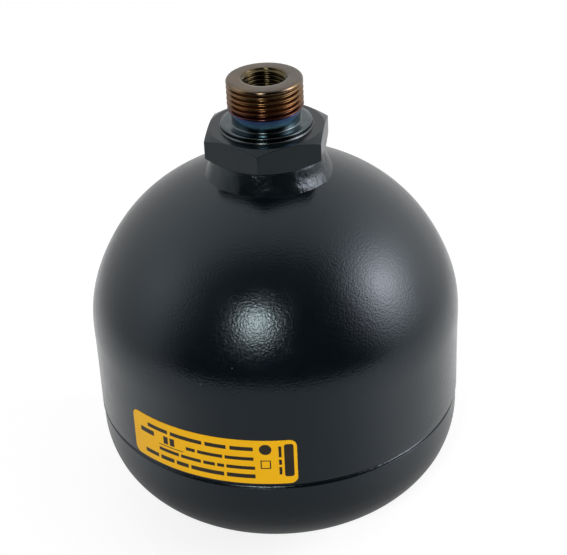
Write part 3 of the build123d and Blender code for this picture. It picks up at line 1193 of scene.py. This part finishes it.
def towards(azimuth: float, elevation: float) -> Vector:
    """The unit vector in a direction given in degrees."""
    turn, rise = radians(azimuth), radians(elevation)
    return Vector((cos(turn) * cos(rise), sin(turn) * cos(rise), sin(rise)))


def calculate(
    tree: bpy.types.NodeTree, kind: str, *values: bpy.types.NodeSocket | float
) -> bpy.types.NodeSocket:
    """Adds a math node.

    Args:
        tree: The nodes of the world or of a material.
        kind: The operation.
        values: Its inputs, each a socket or a number.

    Returns:
        The socket of the result.
    """
    node = tree.nodes.new("ShaderNodeMath")
    node.operation = kind
    for socket, value in zip(node.inputs, values):
        if isinstance(value, bpy.types.NodeSocket):
            tree.links.new(value, socket)
        else:
            socket.default_value = value
    return node.outputs[0]


def facing(tree: bpy.types.NodeTree, where: bpy.types.NodeSocket, direction: Vector) -> bpy.types.NodeSocket:
    """The cosine between a unit vector that is looked at and a fixed direction."""
    node = tree.nodes.new("ShaderNodeVectorMath")
    node.operation = "DOT_PRODUCT"
    node.inputs[1].default_value = direction
    tree.links.new(where, node.inputs[0])
    return node.outputs["Value"]


@dataclass(frozen=True)
class Glow:
    """A soft bright patch of the tent, as a glossy surface sees it."""

    azimuth: float
    elevation: float
    strength: float
    spread: float
    tint: Colour = (1.0, 1.0, 1.0)

    def add(
        self, tree: bpy.types.NodeTree, where: bpy.types.NodeSocket, below: bpy.types.NodeSocket
    ) -> bpy.types.NodeSocket:
        """Adds the patch to a colour.

        Args:
            tree: The world's nodes.
            where: The direction that is looked at.
            below: The colour so far.

        Returns:
            The colour with the patch on it.
        """
        turned = calculate(tree, "SUBTRACT", facing(tree, where, towards(self.azimuth, self.elevation)), 1.0)
        fall = calculate(tree, "EXPONENT", calculate(tree, "MULTIPLY", turned, radians(self.spread) ** -2))
        total = tree.nodes.new("ShaderNodeVectorMath")
        total.operation = "MULTIPLY_ADD"
        tree.links.new(calculate(tree, "MULTIPLY", fall, self.strength), total.inputs[0])
        total.inputs[1].default_value = self.tint
        tree.links.new(below, total.inputs[2])
        return total.outputs[0]


@dataclass(frozen=True)
class Opening:
    """A side that is left open and dark, with a soft edge."""

    azimuth: float
    elevation: float
    cosines: tuple[float, float]
    values: tuple[float, float]

    def fade(self, tree: bpy.types.NodeTree, where: bpy.types.NodeSocket) -> bpy.types.NodeSocket:
        """Fades a brightness towards the open side.

        Args:
            tree: The nodes of the world or of the floor.
            where: A unit vector.

        Returns:
            The faded brightness.
        """
        node = tree.nodes.new("ShaderNodeMapRange")
        node.interpolation_type = "SMOOTHSTEP"
        for name, value in zip(("From Min", "From Max", "To Min", "To Max"), self.cosines + self.values):
            node.inputs[name].default_value = value
        tree.links.new(facing(tree, where, towards(self.azimuth, self.elevation)), node.inputs["Value"])
        return node.outputs["Result"]


@dataclass(frozen=True)
class Studio:
    """A white tent with its open side towards the camera, and a pale floor."""

    tent: Opening = Opening(-92.0, 13.0, (0.15, 0.60), (0.56, 0.015))
    # bounce and reach shape the floor's glow in reflections: painted light in a ring round the foot, with painted shade
    # at the foot and towards the camera side.
    bounce: Opening = Opening(-97.0, 13.0, (0.35, 1.00), (0.61, 0.12))
    reach: tuple[tuple[float, float], ...] = ((0.060, 0.06), (0.140, 0.98), (0.200, 0.97), (0.480, 0.55))
    ambient: float = 0.50
    floor_glow: float = 0.72
    glows: tuple[Glow, ...] = (
        Glow(-104.0, 30.6, 20.5, 4.9, (0.97, 1.0, 0.93)),
        Glow(-104.0, 30.6, 30.0, 1.5, (0.97, 1.0, 0.93)),
        Glow(-8.5, 24.5, 7.3, 11.3, (1.0, 0.93, 0.95)),
        Glow(-8.5, 24.5, 3.5, 3.0, (1.0, 0.93, 0.95)),
        Glow(12.0, 26.0, 1.2, 18.0),
        Glow(55.0, 5.0, 0.30, 30.0),
        Glow(60.0, 60.0, 0.25, 30.0),
        Glow(152.0, 40.0, 0.50, 24.0),
        Glow(-172.0, 25.0, 0.62, 14.0),
    )
    lamps: tuple[Lamp, ...] = (
        Lamp("key_lamp", -103.0, 29.0, 0.95, 0.17, 0.15, 3.9, True),
        Lamp("right_softbox", -7.0, 20.0, 0.95, 0.34, 0.42, 4.6),
    )

    def build(self) -> None:
        """Builds the world, the floor and the lamps."""
        self.world()
        self.floor()
        for lamp in self.lamps:
            lamp.build(Vector((0.0, 0.0, 0.100)))
        scene = bpy.context.scene
        scene.view_settings.view_transform = "Standard"

    def world(self) -> None:
        """White to the camera, a tent with an open side to glossy rays, soft and even to others."""
        world = bpy.data.worlds.new("tent")
        bpy.context.scene.world = world
        world.use_nodes = True
        tree = world.node_tree
        tree.nodes.clear()
        path = tree.nodes.new("ShaderNodeLightPath")
        where = tree.nodes.new("ShaderNodeTexCoord").outputs["Generated"]
        gloss = self.tent.fade(tree, where)
        for glow in self.glows:
            gloss = glow.add(tree, where, gloss)
        shine = tree.nodes.new("ShaderNodeMix")
        shine.data_type = "RGBA"
        shine.inputs[6].default_value = (self.ambient, self.ambient, self.ambient, 1.0)
        tree.links.new(path.outputs["Is Glossy Ray"], shine.inputs[0])
        tree.links.new(gloss, shine.inputs[7])
        seen = tree.nodes.new("ShaderNodeMix")
        seen.data_type = "RGBA"
        seen.inputs[7].default_value = (1.0, 1.0, 1.0, 1.0)
        direct = calculate(tree, "MAXIMUM", path.outputs["Is Camera Ray"], path.outputs["Is Transmission Ray"])
        tree.links.new(direct, seen.inputs[0])
        tree.links.new(shine.outputs[2], seen.inputs[6])
        light = tree.nodes.new("ShaderNodeBackground")
        tree.links.new(seen.outputs[2], light.inputs["Color"])
        output = tree.nodes.new("ShaderNodeOutputWorld")
        tree.links.new(light.outputs[0], output.inputs["Surface"])

    def floor(self) -> None:
        """A round pale sheet that keeps the object's shadow. For glossy rays it glows with painted light, brightest in
        a ring round the foot, with painted shade at the foot and towards the camera side.
        """
        mesh = bmesh.new()
        bmesh.ops.create_circle(mesh, cap_ends=True, segments=96, radius=0.58)
        bmesh.ops.translate(mesh, verts=mesh.verts, vec=(0.0, 0.12, 0.0))
        data = bpy.data.meshes.new("studio_floor")
        mesh.to_mesh(data)
        mesh.free()
        floor = bpy.data.objects.new("studio_floor", data)
        bpy.context.scene.collection.objects.link(floor)
        material = bpy.data.materials.new("pale_floor")
        material.use_nodes = True
        tree = material.node_tree
        surface = tree.nodes["Principled BSDF"]
        surface.inputs["Base Color"].default_value = (0.42, 0.42, 0.42, 1.0)
        surface.inputs["Roughness"].default_value = 0.9
        surface.inputs["Specular IOR Level"].default_value = 0.1
        path = tree.nodes.new("ShaderNodeLightPath")
        spot = tree.nodes.new("ShaderNodeTexCoord").outputs["Object"]
        around = tree.nodes.new("ShaderNodeVectorMath")
        around.operation = "NORMALIZE"
        tree.links.new(spot, around.inputs[0])
        bounce = self.bounce.fade(tree, around.outputs["Vector"])
        away = tree.nodes.new("ShaderNodeVectorMath")
        away.operation = "LENGTH"
        tree.links.new(spot, away.inputs[0])
        apart = tree.nodes.new("ShaderNodeValToRGB")
        apart.color_ramp.interpolation = "EASE"
        elements = apart.color_ramp.elements
        while len(elements) < len(self.reach):
            elements.new(0.5)
        for element, (distance, shade) in zip(elements, self.reach):
            element.position = distance
            element.color = (shade, shade, shade, 1.0)
        tree.links.new(away.outputs["Value"], apart.inputs["Fac"])
        # Painted light and shade seen only in reflections: the floor glows for glossy rays, dim at the foot as a
        # painted shadow, bright in a ring round it, and dimmer towards the camera side.
        painted_floor_light = calculate(tree, "MULTIPLY", bounce, apart.outputs["Color"])
        mirrored = calculate(tree, "MULTIPLY", path.outputs["Is Glossy Ray"], painted_floor_light)
        direct = calculate(tree, "MAXIMUM", path.outputs["Is Camera Ray"], path.outputs["Is Transmission Ray"])
        glow = calculate(tree, "MULTIPLY_ADD", direct, self.floor_glow, mirrored)
        surface.inputs["Emission Color"].default_value = (1.0, 1.0, 1.0, 1.0)
        tree.links.new(glow, surface.inputs["Emission Strength"])
        data.materials.append(material)


@dataclass(frozen=True)
class PhotoCamera:
    """The camera that sees the part as the photograph does."""

    place: tuple[float, float, float] = (0.0, -0.494278, 0.386346)
    right: tuple[float, float, float] = (0.99871093, -0.03092136, -0.04025349)
    down: tuple[float, float, float] = (-0.05036444, -0.504981, -0.8616598)
    ahead: tuple[float, float, float] = (0.00631645, 0.86257641, -0.50588738)
    focal_pixels: float = 1540.8
    frame_width: int = 567

    def build(self) -> None:
        """Creates the camera and makes it the scene's own."""
        data = bpy.data.cameras.new("photo_camera")
        data.sensor_fit = "HORIZONTAL"
        data.sensor_width = 36.0
        data.lens = self.focal_pixels / self.frame_width * 36.0
        data.shift_x = -0.4 / self.frame_width
        data.clip_start = 0.01
        data.clip_end = 20.0
        data.dof.use_dof = False
        camera = bpy.data.objects.new("photo_camera", data)
        bpy.context.scene.collection.objects.link(camera)
        axes = Matrix((self.right, [-part for part in self.down], [-part for part in self.ahead])).transposed()
        camera.matrix_world = Matrix.Translation(self.place) @ axes.to_4x4()
        bpy.context.scene.camera = camera


def main() -> None:
    """Builds the accumulator piece by piece, then the studio."""
    logging.basicConfig(level=logging.INFO, format="%(message)s")
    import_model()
    PhotoCamera().build()
    Studio().build()
    finishes = Finishes()
    vessel = Vessel(finishes)
    parts = (
        vessel,
        PortFitting(finishes),
        PortWeld(finishes, vessel.fluid),
        Label(finishes),
        GasEnd(finishes, vessel.gas),
        Diaphragm(finishes, vessel.fluid),
        Carried(finishes),
    )
    for part in parts:
        LOG.info("building %s", type(part).__name__)
        part.build()


if __name__ == "__main__":
    main()
